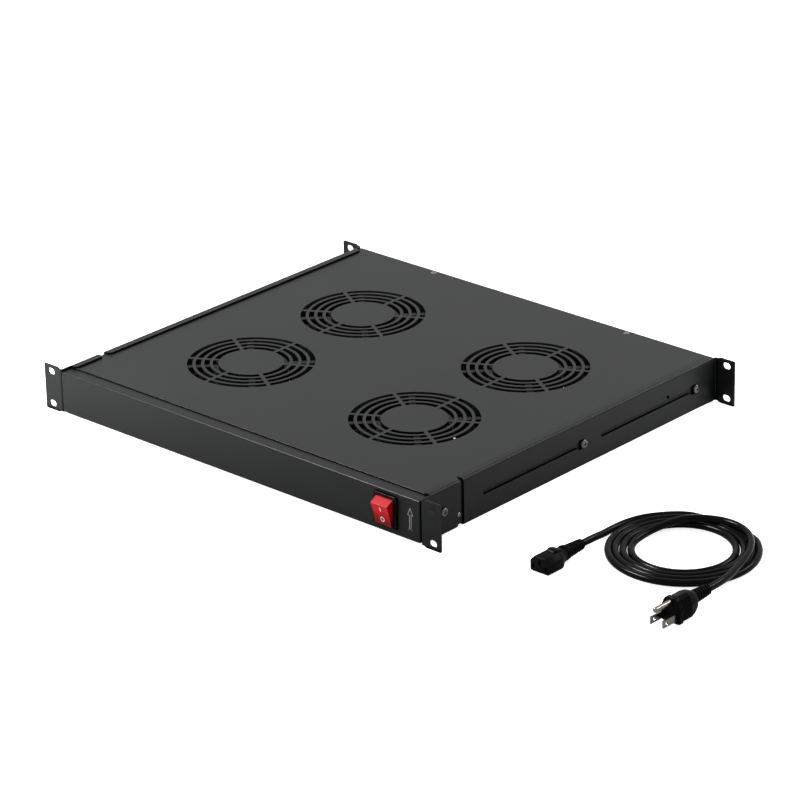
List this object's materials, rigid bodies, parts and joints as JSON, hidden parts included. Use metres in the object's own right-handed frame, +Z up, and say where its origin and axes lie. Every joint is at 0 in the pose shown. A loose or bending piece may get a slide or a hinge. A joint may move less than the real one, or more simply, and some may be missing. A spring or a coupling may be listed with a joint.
{
  "type": "rack fan tray",
  "caption": "Depth-adjustable one-unit rack tray with axial fans under stamped grilles, a rocker switch, a mains inlet and a coiled power cord.",
  "frame": {"origin": "on the surface the tray stands on, midway across the width and midway between the rocker and the mains inlet, without the cord", "axes": "+X to the right seen from the front, +Y from the front panel to the back, +Z up, the way the fans blow"},
  "size_m": [0.7206, 0.4123, 0.044],
  "materials": {
    "powder_coat": "satin black powder coat",
    "panel_coat": "satin black powder coat",
    "zinc_screw": "bright zinc-plated steel",
    "dark_screw": "black oxide steel",
    "fan_casting": "black gloss enamel on cast aluminium",
    "fan_blade": "black moulded thermoplastic",
    "bearing_bronze": "sintered bronze",
    "stator_steel": "laminated steel",
    "switch_black": "black nylon, semi-gloss",
    "rocker_red": "red moulded, gloss",
    "tin_terminal": "tin-plated",
    "inlet_black": "black moulded",
    "contact_brass": "nickel-plated brass",
    "block_plastic": "natural nylon",
    "lead_jacket": "black PVC",
    "cord_jacket": "black PVC, semi-matt",
    "plug_moulding": "black moulded PVC"
  },
  "bodies": {
    "chassis": {"base_tray": "panel_coat", "top_cover": "powder_coat", "front_bracket_right": "powder_coat", "front_bracket_left": "powder_coat", "bracket_screws": "zinc_screw", "clinch_nuts": "zinc_screw", "side_rivets": "zinc_screw", "cover_screws": "dark_screw", "fan_bearings": "bearing_bronze", "fan_stators": "stator_steel", "fan_screws": "dark_screw", "fan_nuts": "zinc_screw", "switch_housing": "switch_black", "switch_terminals": "tin_terminal", "inlet_body": "inlet_black", "inlet_pins": "contact_brass", "inlet_screws": "dark_screw", "inlet_nuts": "zinc_screw", "terminal_block": "block_plastic", "terminal_screws": "zinc_screw", "switch_lead": "lead_jacket", "fan_leads": "lead_jacket", "cord_connector": "plug_moulding", "cord_lead": "cord_jacket", "cord_coil": "cord_jacket", "cord_tail": "cord_jacket", "cord_plug": "plug_moulding", "plug_blades": "contact_brass", "plug_ground_pin": "contact_brass", "fan_frame_1": "fan_casting", "fan_frame_2": "fan_casting", "fan_frame_3": "fan_casting", "fan_frame_4": "fan_casting"},
    "left_rear_bracket": {"rear_bracket_left": "powder_coat"},
    "right_rear_bracket": {"rear_bracket_right": "powder_coat"},
    "rocker": {"switch_rocker": "rocker_red"},
    "rotor_1": {"fan_rotor_1": "fan_blade"},
    "rotor_2": {"fan_rotor_2": "fan_blade"},
    "rotor_3": {"fan_rotor_3": "fan_blade"},
    "rotor_4": {"fan_rotor_4": "fan_blade"}
  },
  "joints": [
    {"name": "left_depth_slide", "type": "slide", "parent": "chassis", "child": "left_rear_bracket", "axis": [0, 1, 0], "range_m": [0, 0.13]},
    {"name": "right_depth_slide", "type": "slide", "parent": "chassis", "child": "right_rear_bracket", "axis": [0, 1, 0], "range_m": [0, 0.13]},
    {"name": "fan_1_spin", "type": "hinge", "parent": "chassis", "child": "rotor_1", "pos_m": [-0.1, -0.07126, 0.022], "axis": [0, 0, 1], "continuous": true},
    {"name": "fan_2_spin", "type": "hinge", "parent": "chassis", "child": "rotor_2", "pos_m": [0.1, -0.07126, 0.022], "axis": [0, 0, 1], "continuous": true},
    {"name": "fan_3_spin", "type": "hinge", "parent": "chassis", "child": "rotor_3", "pos_m": [-0.1, 0.07874, 0.022], "axis": [0, 0, 1], "continuous": true},
    {"name": "fan_4_spin", "type": "hinge", "parent": "chassis", "child": "rotor_4", "pos_m": [0.1, 0.07874, 0.022], "axis": [0, 0, 1], "continuous": true},
    {"name": "switch_rock", "type": "hinge", "parent": "chassis", "child": "rocker", "pos_m": [0.18, -0.19471, 0.022], "axis": [-1, 0, 0], "range_deg": [0, 30]}
  ]
}
